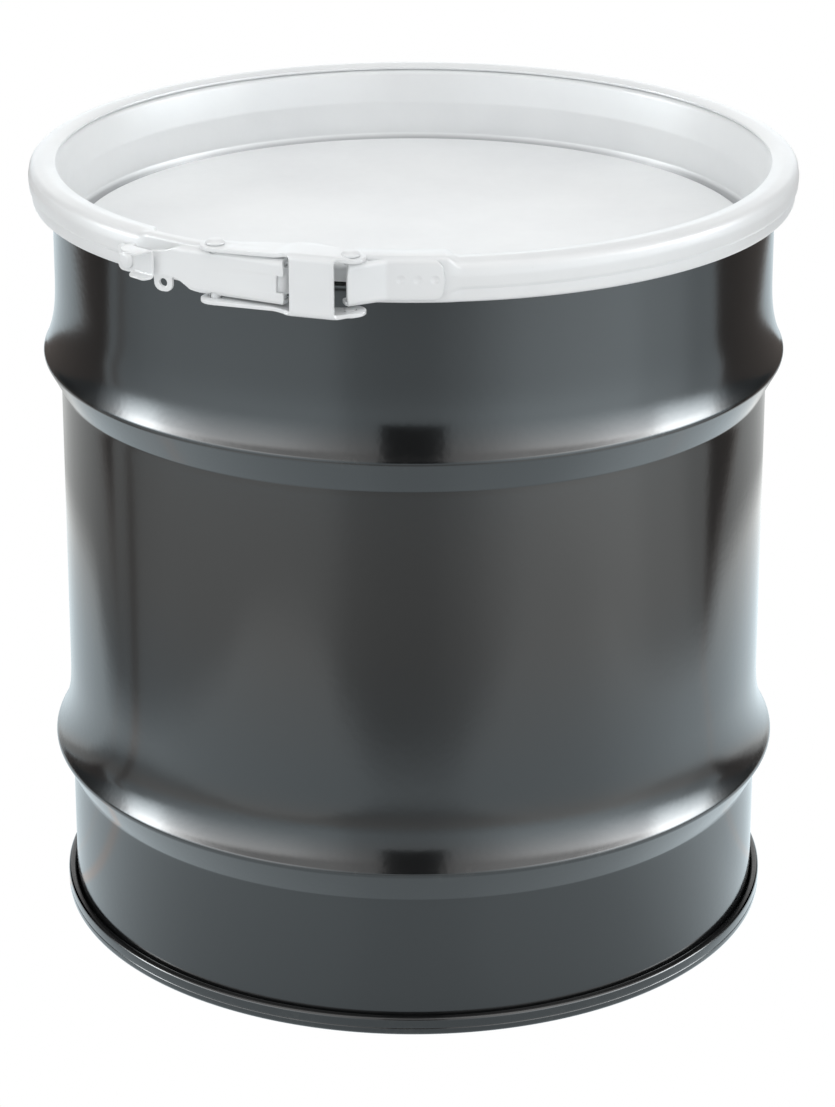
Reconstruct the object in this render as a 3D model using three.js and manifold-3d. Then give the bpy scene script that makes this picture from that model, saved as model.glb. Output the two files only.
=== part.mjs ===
// Open head steel drum with a recessed cover and a lever lock closing ring.
// Millimetres, +Z up. The origin is in the middle of the footprint, in the plane the chime stands on.
// The drum is drawn about its own axis and moved back by AXIS_Y at the end, because the latch sticks
// out at the front. "Azimuth" is measured round that axis in degrees: 0 is the front (-Y), 90 is +X.
import * as THREE from 'three';
import { mergeVertices } from 'three/addons/utils/BufferGeometryUtils.js';
import Module from 'manifold-3d';

const wasm = await Module();
wasm.setup();

// ---------------------------------------------------------------- driving dimensions
const SEGMENTS = 36;             // flats round every part of revolution
const GAP = 0.4;                 // clearance between parts that touch on the real drum
const AXIS_Y = 7;                // how far the drum's axis stands behind the origin

const WALL_RADIUS = 178.5;       // outside of the body between the hoops
const NECK_RADIUS = 180.3;       // outside of the body above the top hoop
const HOOP_RADIUS = 187;         // crest of both rolling hoops
const BODY_SHEET = 1.0;
const HEAD_SHEET = 0.9;
const COVER_SHEET = 1.1;
const RING_SHEET = 1.9;
const LATCH_SHEET = 1.9;         // lever, link and brackets
const CLIP_SHEET = 1.1;

const LOW_HOOP = { crest: 88, above: 21, below: 17 };
const TOP_HOOP = { crest: 296.5, above: 20.5, below: 16.5 };
const CHIME_RADIUS = 183.1;
const CHIME_HEIGHT = 9.2;
const BOTTOM_PANEL = 11;
const CURL_HEIGHT = 382.4;       // middle of the body's rolled top curl
const CURL_RADIUS = 3.4;         // to the middle of the sheet
const COVER_PANEL = 355.45;      // middle of the recessed panel's sheet
const COVER_RIM = 391.4;         // middle of the cover's flat rim

const RING_RADIUS = 191.8;
const RING_BOTTOM = 374.55;
const RING_INNER = 179;          // inner edge of the ring's top flange
const LEG_INNER = 184.2;         // inner edge of the ring's lower flange
const RING_END_TOP = 396.9;      // top of the squared right-hand end

const LEFT_END = -19.5;          // azimuths of the ring's two ends
const RIGHT_END = -8.5;
const LEFT_SQUARED = -39;        // the ring is squared from here to its left end
const RIGHT_SQUARED = 4.2;       // and from its right end to here
const RING_HINGE = 166.4;        // where the ring flexes, opposite its gap

const PIVOT_RADIUS = 199.5;      // distance of latch pivots P and R from the axis
const PIVOT_L_RADIUS = 198.4;    // and of pivot L
const PIVOT_P = -26.6;           // link to lever
const PIVOT_L = -17.4;           // lever to the ring's left end
const PIVOT_R = -8.1;            // link to the ring's right end
const PIN_RADIUS = 2.4;
const HOLE_RADIUS = PIN_RADIUS + 0.35;
const RIVET_HEAD = { radius: 4.15, height: 2.1 };

const LEVER = { azimuth: -25.5, face: 203, depth: 9.8, bottom: 375.4, top: 397.0 };
const LINK = { bottom: 372.4, top: 399.3, face: 10.1, webFrom: 38.4, webTo: 59.3 };
const TONGUE = { azimuth: -26, bottom: 380, top: 392.8 };
const STRAP = { azimuth: 0.15, bottom: 376.3, top: 396.9, earBottom: 374.8, earTop: 396.7 };
const CLIP = { azimuth: -43.2, rivetHeight: 381.5, bottom: 380.4, top: 394.4 };

// ---------------------------------------------------------------- small helpers
const radians = (degrees) => degrees * Math.PI / 180;

/** A point in plan, from its distance to the axis and its azimuth. */
function polar(radius, azimuth) {
  const a = radians(azimuth);
  return new THREE.Vector2(radius * Math.sin(a), -radius * Math.cos(a));
}

/** Plan points given as (along the tangent, away from the axis) at an azimuth. */
function tangentFrame(azimuth) {
  const a = radians(azimuth);
  return (along, out) => new THREE.Vector2(
    along * Math.cos(a) + out * Math.sin(a),
    along * Math.sin(a) - out * Math.cos(a),
  );
}

/** Points on an arc, from one angle to another in degrees. */
function arc(x, y, radius, from, to, steps) {
  return Array.from({ length: steps + 1 }, (_, i) => {
    const a = radians(from + (to - from) * i / steps);
    return new THREE.Vector2(x + radius * Math.cos(a), y + radius * Math.sin(a));
  });
}

/** Keeps positions only, welds them and drops flat triangles, so the solid is closed. */
function weld(geometry) {
  geometry.deleteAttribute('normal');
  geometry.deleteAttribute('uv');
  const welded = mergeVertices(geometry, 1e-3);
  const kept = [];
  const index = welded.index.array;
  for (let i = 0; i < index.length; i += 3) {
    const [a, b, c] = [index[i], index[i + 1], index[i + 2]];
    if (a !== b && b !== c && c !== a) kept.push(a, b, c);
  }
  welded.setIndex(kept);
  return welded;
}

/** Turns a three.js geometry into a manifold that faces outwards. */
function solid(geometry) {
  const welded = weld(geometry);
  const make = (triVerts) => new wasm.Manifold(new wasm.Mesh({
    numProp: 3,
    vertProperties: new Float32Array(welded.attributes.position.array),
    triVerts,
  }));
  const triangles = new Uint32Array(welded.index.array);
  const body = make(triangles);
  return body.volume() > 0 ? body : make(triangles.reverse());
}

/** Turns a manifold back into a three.js geometry. */
function geometryOf(body) {
  const mesh = body.getMesh();
  const geometry = new THREE.BufferGeometry();
  geometry.setAttribute('position', new THREE.BufferAttribute(mesh.vertProperties, 3));
  geometry.setIndex(new THREE.BufferAttribute(mesh.triVerts, 1));
  return geometry;
}

const join = (...bodies) => bodies.reduce((a, b) => a.add(b));
const cut = (body, ...tools) => tools.reduce((a, b) => a.subtract(b), body);

/** A horizontal plate: an outline in plan, between two heights. */
function plate(outline, bottom, top) {
  const geometry = new THREE.ExtrudeGeometry(new THREE.Shape(outline), {
    depth: top - bottom,
    bevelEnabled: false,
  });
  geometry.translate(0, 0, bottom);
  return solid(geometry);
}

/** An upright plate: an outline in (along, height), facing out at an azimuth. */
function uprightPlate(outline, azimuth, inner, outer) {
  const geometry = new THREE.ExtrudeGeometry(new THREE.Shape(outline), {
    depth: outer - inner,
    bevelEnabled: false,
  });
  const a = radians(azimuth);
  const along = new THREE.Vector3(Math.cos(a), Math.sin(a), 0);
  const out = new THREE.Vector3(Math.sin(a), -Math.cos(a), 0);
  const place = new THREE.Matrix4().makeBasis(along, new THREE.Vector3(0, 0, 1), out);
  place.setPosition(out.clone().multiplyScalar(inner));
  return solid(geometry.applyMatrix4(place));
}

/** An upright post between two heights, at a point in plan. */
function post(centre, radius, bottom, top, sides = 16) {
  const geometry = new THREE.CylinderGeometry(radius, radius, top - bottom, sides);
  geometry.rotateX(Math.PI / 2);
  geometry.translate(centre.x, centre.y, (top + bottom) / 2);
  return solid(geometry);
}

/** A closed profile in (radius, height), turned about the drum's axis. */
function turned(profile) {
  const geometry = new THREE.LatheGeometry(profile, SEGMENTS);
  geometry.rotateX(Math.PI / 2);
  return solid(geometry);
}

/** The closed outline of a sheet that follows a centre line. */
function sheetOutline(line, thickness) {
  const side = (sign) => line.map((p, i) => {
    const before = line[Math.max(i - 1, 0)];
    const after = line[Math.min(i + 1, line.length - 1)];
    const [d1, d2] = [p.clone().sub(before), after.clone().sub(p)];
    const first = (i === 0 ? d2 : d1).normalize();
    const second = (i === line.length - 1 ? d1 : d2).normalize();
    const normal = new THREE.Vector2(-first.y - second.y, first.x + second.x).normalize();
    const mitre = 1 / Math.max(0.5, normal.dot(new THREE.Vector2(-first.y, first.x)));
    return p.clone().addScaledVector(normal, sign * mitre * thickness / 2);
  });
  return [...side(1), ...side(-1).reverse()];
}

/** A pressed sheet part of revolution, from its centre line. */
function pressing(line, thickness) {
  const outline = sheetOutline(line, thickness);
  if (outline[0].x > 0) outline.push(outline[0].clone());
  return turned(outline);
}

const v = (x, y) => new THREE.Vector2(x, y);

/** The part of a turned body between two azimuths, less than half a turn apart. */
function sector(body, from, to) {
  const reach = 400;
  const steps = 6;
  const rim = Array.from({ length: steps + 1 }, (_, i) => polar(reach, from + (to - from) * i / steps));
  return body.intersect(plate([v(0, 0), ...rim], 300, 450));
}

// ---------------------------------------------------------------- drum
/** One rolling hoop's outer radius and height, from its top edge to its bottom edge. */
function hoop({ crest, above, below }, radiusAbove, radiusBelow, steps = 4) {
  const swell = (base, share) => base + (HOOP_RADIUS - base) * (1 + Math.cos(Math.PI * share)) / 2;
  const upper = Array.from({ length: steps }, (_, i) => {
    const share = 1 - i / steps;
    return v(swell(radiusAbove, share), crest + above * share);
  });
  const lower = Array.from({ length: steps + 1 }, (_, i) => {
    const share = i / steps;
    return v(swell(radiusBelow, share), crest - below * share);
  });
  return [...upper, ...lower];
}

function bodyShell() {
  const half = BODY_SHEET / 2;
  const curlMiddle = NECK_RADIUS - half + CURL_RADIUS;
  const hoops = [...hoop(TOP_HOOP, NECK_RADIUS, WALL_RADIUS), ...hoop(LOW_HOOP, WALL_RADIUS, WALL_RADIUS)];
  const hook = WALL_RADIUS + 2.6;
  return pressing([
    ...arc(curlMiddle, CURL_HEIGHT, CURL_RADIUS, -90, 180, 9),
    ...hoops.map((p) => v(p.x - half, p.y)),
    v(WALL_RADIUS - half, 3.2),
    v(WALL_RADIUS + 0.2, 2.2),
    v(hook - 0.4, 2.2),
    v(hook, 2.7),
    v(hook, 7.4),
  ], BODY_SHEET);
}

function bottomHead() {
  const half = HEAD_SHEET / 2;
  const wall = WALL_RADIUS - BODY_SHEET - GAP - half;
  const outer = CHIME_RADIUS - half;
  const hook = WALL_RADIUS + 1.05;
  return pressing([
    v(0, BOTTOM_PANEL),
    v(wall - 2.6, BOTTOM_PANEL),
    v(wall, BOTTOM_PANEL - 2.4),
    v(wall, 2),
    v(wall + 1.5, half),
    v(outer - 1.3, half),
    v(outer, 1.8),
    v(outer, CHIME_HEIGHT - half - 0.8),
    v(outer - 0.8, CHIME_HEIGHT - half),
    v(hook + 0.4, CHIME_HEIGHT - half),
    v(hook, CHIME_HEIGHT - half - 0.5),
    v(hook, 4.2),
  ], HEAD_SHEET);
}

// ---------------------------------------------------------------- cover
function cover() {
  return pressing([
    v(0, COVER_PANEL),
    v(166, COVER_PANEL),
    v(169.5, COVER_PANEL - 1.6),
    v(173.4, COVER_PANEL - 1.6),
    v(176, COVER_PANEL + 1),
    v(177.2, COVER_RIM - 3.4),
    v(178.1, COVER_RIM - 0.9),
    v(180, COVER_RIM),
    v(186, COVER_RIM),
    v(188.3, COVER_RIM - 1.7),
    v(188.6, COVER_RIM - 4.5),
    v(188.5, COVER_RIM - 7.2),
  ], COVER_SHEET);
}

function gasket() {
  const bottom = CURL_HEIGHT + CURL_RADIUS + BODY_SHEET / 2 + GAP;
  const top = COVER_RIM - COVER_SHEET / 2 - GAP;
  return turned([v(181.4, bottom), v(186, bottom), v(186, top), v(181.4, top), v(181.4, bottom)]);
}

// ---------------------------------------------------------------- closing ring
const ringFace = RING_RADIUS - RING_SHEET / 2;
const ringLeg = RING_BOTTOM + RING_SHEET / 2;

/** The rolled section that most of the ring has. */
function rolledRing() {
  return pressing([
    v(RING_INNER, 393.85),
    v(184.5, 393.6),
    v(188.6, 392.3),
    v(190.5, 390.2),
    v(ringFace, 387.5),
    v(190.55, 383.7),
    v(189.3, 381),
    v(189.2, 378),
    v(188, ringLeg + 0.4),
    v(LEG_INNER, ringLeg),
  ], RING_SHEET);
}

/** The squared section at an end, with a top flange of its own height and width. */
function squaredRing(flangeInner, flangeTop) {
  const flange = flangeTop - RING_SHEET / 2;
  return pressing([
    v(flangeInner, flange),
    v(ringFace - 0.6, flange),
    v(ringFace, flange - 0.6),
    v(ringFace, 378.2),
    v(188.5, ringLeg),
    v(LEG_INNER, ringLeg),
  ], RING_SHEET);
}

const rolled = rolledRing();
const overlap = 0.4;              // degrees that the two sections share, so that they join

function ringLeft() {
  const back = RING_HINGE - 360;
  const middle = (LEFT_SQUARED + back) / 2;
  return join(
    sector(rolled, back, middle + overlap),
    sector(rolled, middle, LEFT_SQUARED + overlap),
    sector(squaredRing(186.6, 395.2), LEFT_SQUARED, LEFT_END),
  );
}

function ringRight() {
  const seam = 0.12;              // degrees of gap where the two halves meet at the hinge
  const middle = (RIGHT_SQUARED + RING_HINGE) / 2;
  return join(
    sector(squaredRing(RING_INNER, RING_END_TOP), RIGHT_END, RIGHT_SQUARED + overlap),
    sector(rolled, RIGHT_SQUARED, middle + overlap),
    sector(rolled, middle, RING_HINGE - seam),
  );
}

// ---------------------------------------------------------------- latch
const pinP = polar(PIVOT_RADIUS, PIVOT_P);
const pinL = polar(PIVOT_L_RADIUS, PIVOT_L);
const pinR = polar(PIVOT_RADIUS, PIVOT_R);
const drill = (centre, bottom, top) => post(centre, HOLE_RADIUS, bottom, top);

/** The lever: a channel open towards the drum, with a narrow tip and a seal lug. */
function lever() {
  const { azimuth, face, depth, bottom, top } = LEVER;
  const at = tangentFrame(azimuth);
  const end = 33;
  const notch = { depth: 3.6, bottom: 381.3, top: 389.3 };
  const web = uprightPlate([
    v(end, top - 2), v(end, notch.top), v(end - notch.depth, notch.top),
    v(end - notch.depth, notch.bottom), v(end, notch.bottom), v(end, bottom),
    v(-12, bottom), v(-19, 377.4), v(-25, 381.2), v(-36, 384), v(-36, 392),
    v(-28.5, 393.6), v(-20.5, 396.2), v(-16, top), v(end - 2, top),
  ], azimuth, face - LATCH_SHEET, face);
  const pinEnd = face - depth - 1.4;
  const flange = (start) => [
    at(start, face - 3), at(start + 3, face - depth), at(14, face - depth), at(22, pinEnd),
    at(end - 0.5, pinEnd), at(end - 0.5, face - 0.5), at(start, face - 0.5),
  ];
  const lugHeight = 377.7;
  const lug = uprightPlate([
    v(-25.6, 382.6), v(-33.4, 382.6), ...arc(-29.5, lugHeight, 3.9, 180, 360, 8),
  ], azimuth, face - LATCH_SHEET, face - 0.4);
  const eye = uprightPlate(arc(-29.5, lugHeight, 1.7, 0, 330, 11), azimuth, face - 5, face + 2);
  return cut(
    join(web, plate(flange(-17), top - LATCH_SHEET, top), plate(flange(-12), bottom, bottom + LATCH_SHEET), lug),
    eye,
    drill(pinP, bottom - 2, top + 2),
    drill(pinL, bottom - 2, top + 2),
  );
}

/** The link: a wide clevis that wraps the outside of the lever, from pivot P to pivot R. */
function link() {
  const azimuth = (PIVOT_P + PIVOT_R) / 2;
  const span = PIVOT_RADIUS * Math.sin(radians((PIVOT_R - PIVOT_P) / 2));
  const line = PIVOT_RADIUS * Math.cos(radians((PIVOT_R - PIVOT_P) / 2));
  const at = tangentFrame(azimuth);
  const place = (points) => points.map((p) => at(p.x - span, p.y + line));
  const { bottom, top, face, webFrom, webTo } = LINK;
  const length = 2 * span;
  const ear = 7;
  const outer = [...arc(0, 0, ear, 250, 100, 8), v(webFrom - 5, face - 1), v(webFrom, face), v(webTo, face)];
  const rightEnd = arc(length, 0, ear, 80, -80, 8);
  const upper = place([...outer, ...rightEnd, v(length - 8, -6.4), v(46, -10), v(22, -10), v(10, -7.2)]);
  const lower = place([...outer, ...rightEnd, v(length - 8, -4.6), v(10, -4.6)]);
  const web = place([v(webFrom, face - LATCH_SHEET), v(webTo, face - LATCH_SHEET), v(webTo, face), v(webFrom, face)]);
  return cut(
    join(plate(upper, top - LATCH_SHEET, top), plate(lower, bottom, bottom + LATCH_SHEET), plate(web, bottom, top)),
    drill(pinP, bottom - 2, top + 2),
    drill(pinR, bottom - 2, top + 2),
  );
}

/** The tongue that is welded to the ring's left end and carries the lever's pin. */
function leverBracket() {
  const { azimuth, bottom, top } = TONGUE;
  const at = tangentFrame(azimuth);
  const inner = RING_RADIUS + GAP;
  const outer = inner + LATCH_SHEET;
  const eye = at(0, 0).distanceTo(pinL);
  const swing = radians(PIVOT_L - azimuth);
  const [along, out] = [eye * Math.sin(swing), eye * Math.cos(swing)];
  const strip = [at(-16, inner), at(8, inner), at(along - 2, out - 3.4), at(along + 1, out - 1), at(along, out + 1.2),
    at(along - 4, out - 0.8), at(8, outer), at(-16, outer)];
  return cut(
    join(plate(strip, bottom, top), post(pinL, HOLE_RADIUS + 1.2, bottom, top)),
    drill(pinL, bottom - 2, top + 2),
  );
}

/** The bracket that is welded to the ring's right end, with two ears at pivot R. */
function strapBracket() {
  const { azimuth, bottom, top, earBottom, earTop } = STRAP;
  const at = tangentFrame(azimuth);
  const inner = RING_RADIUS + GAP;
  const outer = inner + LATCH_SHEET;
  const [crease, tip] = [-12.8, 13.6];
  const foot = uprightPlate([
    v(crease, bottom), v(tip - 5, bottom), v(tip - 1.2, bottom + 5), v(tip, (bottom + top) / 2),
    v(tip - 1.2, top - 5), v(tip - 5, top), v(crease, top),
  ], azimuth, inner, outer);
  const swing = radians(PIVOT_R - azimuth);
  const [along, out] = [PIVOT_RADIUS * Math.sin(swing), PIVOT_RADIUS * Math.cos(swing)];
  const edge = -30.2;
  const ramp = plate([
    at(crease + 1, inner), at(crease + 1, outer), at(crease, outer), at(edge + 1.5, 202.2), at(edge, 202.2),
    at(edge, 200.4), at(edge + 1.5, 200.3), at(crease, inner),
  ], bottom, earTop);
  const ear = [...arc(along, out, 4.8, 90, 250, 6).map((p) => at(p.x, p.y)), at(along + 8, out - 3.8),
    at(crease - 1, inner + 0.6), at(along + 2, 201.4)];
  return cut(
    join(foot, ramp, plate(ear, earTop - LATCH_SHEET, earTop), plate(ear, bottom, bottom + LATCH_SHEET)),
    drill(pinR, earBottom - 2, earTop + 2),
  );
}

/** A rivet with a domed head at each end that is given a height. */
function rivet(centre, shankBottom, shankTop, { headBelow, headAbove }) {
  const { radius, height } = RIVET_HEAD;
  const dome = (base, sign) => {
    const profile = [v(0, base - sign * 0.2), v(radius * 0.94, base), v(radius, base + sign * height * 0.25),
      v(radius * 0.72, base + sign * height * 0.8), v(0, base + sign * height)];
    const geometry = new THREE.LatheGeometry(profile, 16);
    geometry.rotateX(Math.PI / 2);
    geometry.translate(centre.x, centre.y, 0);
    return solid(geometry);
  };
  const parts = [post(centre, PIN_RADIUS, shankBottom, shankTop)];
  if (headAbove) parts.push(dome(headAbove, 1));
  if (headBelow) parts.push(dome(headBelow, -1));
  return join(...parts);
}

/** The sprung clip that keeps the lever's tip, riveted to the ring. */
function safetyClip() {
  const { azimuth, rivetHeight, bottom, top } = CLIP;
  const at = tangentFrame(azimuth);
  const inner = RING_RADIUS + GAP;
  const foot = uprightPlate([
    ...arc(0, rivetHeight, 6.2, 90, 270, 8), v(6.4, rivetHeight - 6.2), v(6.4, rivetHeight + 6.2),
  ], azimuth, inner, inner + CLIP_SHEET);
  const strip = sheetOutline([
    at(4.6, inner + CLIP_SHEET / 2), at(6.6, inner + CLIP_SHEET / 2), polar(206.2, -39.7), polar(208, -34.9),
  ], CLIP_SHEET);
  const shelf = [polar(208, -34.9), polar(206.2, -39.7), polar(197.5, -40.6), polar(197.5, -34.9)];
  const lip = [polar(208, -35.6), polar(206.2, -39.7), polar(202.5, -40), polar(202.5, -35.6)];
  const hole = uprightPlate(arc(0, rivetHeight, HOLE_RADIUS, 0, 337.5, 15), azimuth, inner - 2, inner + 4);
  return cut(
    join(foot, plate(strip, bottom, top), plate(shelf, top - CLIP_SHEET, top), plate(lip, bottom, bottom + CLIP_SHEET)),
    hole,
  );
}

/** The clip's rivet: its head is outside the clip and its shank reaches the ring's face. */
function clipRivet() {
  const { azimuth, rivetHeight } = CLIP;
  const { height } = RIVET_HEAD;
  const radius = 5.4;
  const seat = RING_RADIUS + 2 * GAP + CLIP_SHEET;
  const profile = [v(0, -CLIP_SHEET), v(PIN_RADIUS, -CLIP_SHEET), v(PIN_RADIUS, 0), v(radius, 0),
    v(radius, height * 0.25), v(radius * 0.7, height * 0.8), v(0, height)];
  const geometry = new THREE.LatheGeometry(profile, 16);
  const out = polar(1, azimuth);
  geometry.rotateZ(-Math.PI / 2);
  geometry.rotateZ(Math.atan2(out.y, out.x));
  geometry.translate(out.x * seat, out.y * seat, rivetHeight);
  return solid(geometry);
}

// ---------------------------------------------------------------- assembly
const FINISH = {
  black: { color: 0x15171a, roughness: 0.22, metalness: 0.0 },
  white: { color: 0xe9ebea, roughness: 0.35, metalness: 0.0 },
  rubber: { color: 0x232323, roughness: 0.85, metalness: 0.0 },
};
const { bottom: linkBottom, top: linkTop } = LINK;

const pieces = [
  ['body_shell', 'black', bodyShell()],
  ['bottom_head', 'black', bottomHead()],
  ['cover', 'white', cover()],
  ['cover_gasket', 'rubber', gasket()],
  ['closing_ring_left', 'white', ringLeft()],
  ['closing_ring_right', 'white', ringRight()],
  ['lever_bracket', 'white', leverBracket()],
  ['lever_pin', 'white', rivet(pinL, LEVER.bottom + 0.1, LEVER.top - 0.1, {})],
  ['lever', 'white', lever()],
  ['link', 'white', link()],
  ['link_lever_rivet', 'white', rivet(pinP, linkBottom - GAP - 0.4, linkTop + GAP + 0.4,
    { headBelow: linkBottom - GAP, headAbove: linkTop + GAP })],
  ['link_end_rivet_upper', 'white', rivet(pinR, STRAP.earTop + 0.35, linkTop + GAP + 0.4,
    { headAbove: linkTop + GAP })],
  ['link_end_rivet_lower', 'white', rivet(pinR, linkBottom - GAP - 0.4, STRAP.earBottom - 0.35,
    { headBelow: linkBottom - GAP })],
  ['strap_bracket', 'white', strapBracket()],
  ['safety_clip', 'white', safetyClip()],
  ['clip_rivet', 'white', clipRivet()],
];

const drum = new THREE.Group();
for (const [name, finish, body] of pieces) {
  const geometry = geometryOf(body).translate(0, AXIS_Y, 0);
  const mesh = new THREE.Mesh(geometry, new THREE.MeshStandardMaterial(FINISH[finish]));
  mesh.name = name;
  drum.add(mesh);
}

export default drum;
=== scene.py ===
"""Looks for the open head steel drum: black enamelled body, white cover, closing ring and lever latch.

Lengths are in millimetres until a mesh is made. "Azimuth" is measured round the drum's axis in degrees:
0 is the front (-Y), 90 is +X. "Out" is the distance from the axis and "along" follows the tangent.
"""
import math

import bmesh
import bpy
from mathutils import Euler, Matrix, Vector


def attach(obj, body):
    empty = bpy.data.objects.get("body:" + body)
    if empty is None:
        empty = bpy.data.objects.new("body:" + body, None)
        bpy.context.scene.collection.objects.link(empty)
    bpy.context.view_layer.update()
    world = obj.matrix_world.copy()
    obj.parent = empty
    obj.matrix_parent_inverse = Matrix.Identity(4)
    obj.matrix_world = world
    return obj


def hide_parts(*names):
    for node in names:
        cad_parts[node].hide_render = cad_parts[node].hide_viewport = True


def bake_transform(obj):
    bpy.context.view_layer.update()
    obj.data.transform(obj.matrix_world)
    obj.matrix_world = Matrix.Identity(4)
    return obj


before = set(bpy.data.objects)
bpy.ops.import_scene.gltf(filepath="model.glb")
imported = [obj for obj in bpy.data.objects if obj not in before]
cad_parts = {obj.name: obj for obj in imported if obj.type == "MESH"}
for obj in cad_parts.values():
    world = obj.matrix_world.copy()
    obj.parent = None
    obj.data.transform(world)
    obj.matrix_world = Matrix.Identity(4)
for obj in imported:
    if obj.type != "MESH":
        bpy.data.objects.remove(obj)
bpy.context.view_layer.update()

# ---------------------------------------------------------------- driving dimensions, in millimetres
MM = 0.001
AXIS_Y = 7.0                     # the drum's axis stands this far behind the origin

WALL_RADIUS = 178.5
NECK_RADIUS = 180.3
HOOP_RADIUS = 187.0
LOW_HOOP = {"crest": 88.0, "below": 17.0}
TOP_HOOP = {"crest": 296.5, "below": 16.5}
FLARE = 42.0                     # height of the sweep from the wall up to a hoop's crest
CHIME_RADIUS = 183.1
CHIME_TOP = 9.2
DISH_HEIGHT = 11.0               # of the bottom head's flat floor
CURL_HEIGHT = 382.4
CURL_RADIUS = 3.4
PANEL_HEIGHT = 355.45
PANEL_RADIUS = 168.4
COVER_RIM = 391.4

BODY_SHEET = 1.0
HEAD_SHEET = 0.9
COVER_SHEET = 1.1
RING_SHEET = 1.9
LATCH_SHEET = 1.9
CLIP_SHEET = 1.1
EDGE = 0.35                      # radius on the edges of cut sheet
BEND_RADIUS = 2.0                # of the sheet's middle, in latch parts
QUARTER = math.pi / 2 * BEND_RADIUS

RING_RADIUS = 191.8
LEFT_END, GAP_MIDDLE, RIGHT_END = -19.5, -14.0, -8.5
RING_HINGE = 166.4
FLEX_HALF = 38.0                 # degrees each side of the hinge that belong to the ring's back piece

PIVOT_RADIUS, PIVOT_L_RADIUS = 199.5, 198.4
PIVOT_P, PIVOT_L, PIVOT_R = -26.6, -17.4, -8.1
HOLE_RADIUS = 2.75
SHANK_RADIUS = 2.4

LEVER = {"azimuth": -25.5, "face": 203.0, "inner": 193.2, "bottom": 375.4, "top": 397.0, "end": 32.2}
LINK = {"bottom": 372.4, "top": 399.3, "face": 10.1, "web_from": 38.4, "web_to": 59.3}
STRAP = {"azimuth": 0.15, "bottom": 376.3, "top": 396.9, "tip": 13.6, "crease": -12.8, "edge": -30.2,
         "lifted": 201.3}
CLIP = {"azimuth": -43.2, "rivet": 381.0, "bottom": 380.4, "top": 394.4, "foot": 6.4}
BRACKET = {"azimuth": -26.0, "bottom": 380.0, "top": 392.8}
WELD_SPOTS = (-6.3, 1.4, 9.2)    # along the strap's foot
WELD_HEIGHT = 387.0
SEAT_GAP = 0.4                   # between the ring and what is welded or riveted to it
FINE_SIDES = 288                 # of the large turned pieces
ON_AXIS = 1e-6                   # a smaller radius counts as a pole
STRAIGHT = 1e-9                  # a smaller curvature counts as none


# ---------------------------------------------------------------- plane geometry
def polar(radius, azimuth):
    a = math.radians(azimuth)
    return Vector((radius * math.sin(a), -radius * math.cos(a)))


def tangent_frame(azimuth):
    """Turns (along, out) at an azimuth into a point in plan."""
    a = math.radians(azimuth)
    return lambda along, out: Vector(
        (along * math.cos(a) + out * math.sin(a), along * math.sin(a) - out * math.cos(a))
    )


def smooth(x, start, end):
    t = min(max((x - start) / (end - start), 0.0), 1.0)
    return t * t * (3 - 2 * t)


def arc(x, y, radius, start, end, steps):
    angles = [math.radians(start + (end - start) * i / steps) for i in range(steps + 1)]
    return [Vector((x + radius * math.cos(a), y + radius * math.sin(a))) for a in angles]


def rounded(corners, closed=False, steps=5):
    """A line through corners given as (x, y, radius), each corner rounded by a true arc."""
    points = [Vector(c[:2]) for c in corners]
    count = len(points)
    line = []
    for i, corner in enumerate(corners):
        if not closed and i in (0, count - 1):
            line.append(points[i])
            continue
        before, at, after = points[i - 1], points[i], points[(i + 1) % count]
        into, leaving = at - before, after - at
        radius = corner[2] if len(corner) > 2 else 0.0
        half = into.angle(leaving, 0.0) / 2
        trim = min(max(radius * math.tan(half), 0.02), 0.48 * into.length, 0.48 * leaving.length)
        start, end = at - into.normalized() * trim, at + leaving.normalized() * trim
        for k in range(steps + 1):
            s = k / steps
            a, b, c = (1 - s) ** 2, 2 * math.cos(half) * s * (1 - s), s * s
            line.append((start * a + at * b + end * c) / (a + b + c))
    return line


def sheet_outline(line, thickness, edge_steps=4):
    """The closed outline of a sheet that follows a centre line, with rounded ends."""
    def normal(i):
        step = line[min(i + 1, len(line) - 1)] - line[max(i - 1, 0)]
        return Vector((-step.y, step.x)).normalized()

    half = thickness / 2
    left = [p + normal(i) * half for i, p in enumerate(line)]
    right = [p - normal(i) * half for i, p in enumerate(line)]

    def cap(end, n, ahead):
        angles = [math.pi * k / edge_steps for k in range(1, edge_steps)]
        return [end + n * half * math.cos(a) + ahead * half * math.sin(a) for a in angles]

    last = len(line) - 1
    end_cap = cap(line[last], normal(last), (line[last] - line[last - 1]).normalized())
    start_cap = cap(line[0], -normal(0), (line[0] - line[1]).normalized())
    return left + end_cap + right[::-1] + start_cap


# ---------------------------------------------------------------- meshes
def finish_mesh(name, mesh_data, body, cad_nodes, finish, sharp=35.0):
    """Makes the object of a bmesh in millimetres about the drum's axis, and hangs it on its CAD body."""
    bmesh.ops.recalc_face_normals(mesh_data, faces=mesh_data.faces)
    mesh = bpy.data.meshes.new(name)
    for vertex in mesh_data.verts:
        vertex.co = (vertex.co + Vector((0, AXIS_Y, 0))) * MM
    mesh_data.to_mesh(mesh)
    mesh_data.free()
    for polygon in mesh.polygons:
        polygon.use_smooth = True
    mesh.set_sharp_from_angle(angle=math.radians(sharp))
    mesh.materials.append(MATERIALS[finish])
    piece = bpy.data.objects.new(name, mesh)
    bpy.context.scene.collection.objects.link(piece)
    if body:
        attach(piece, body)
    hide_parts(*cad_nodes)
    return piece


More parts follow.
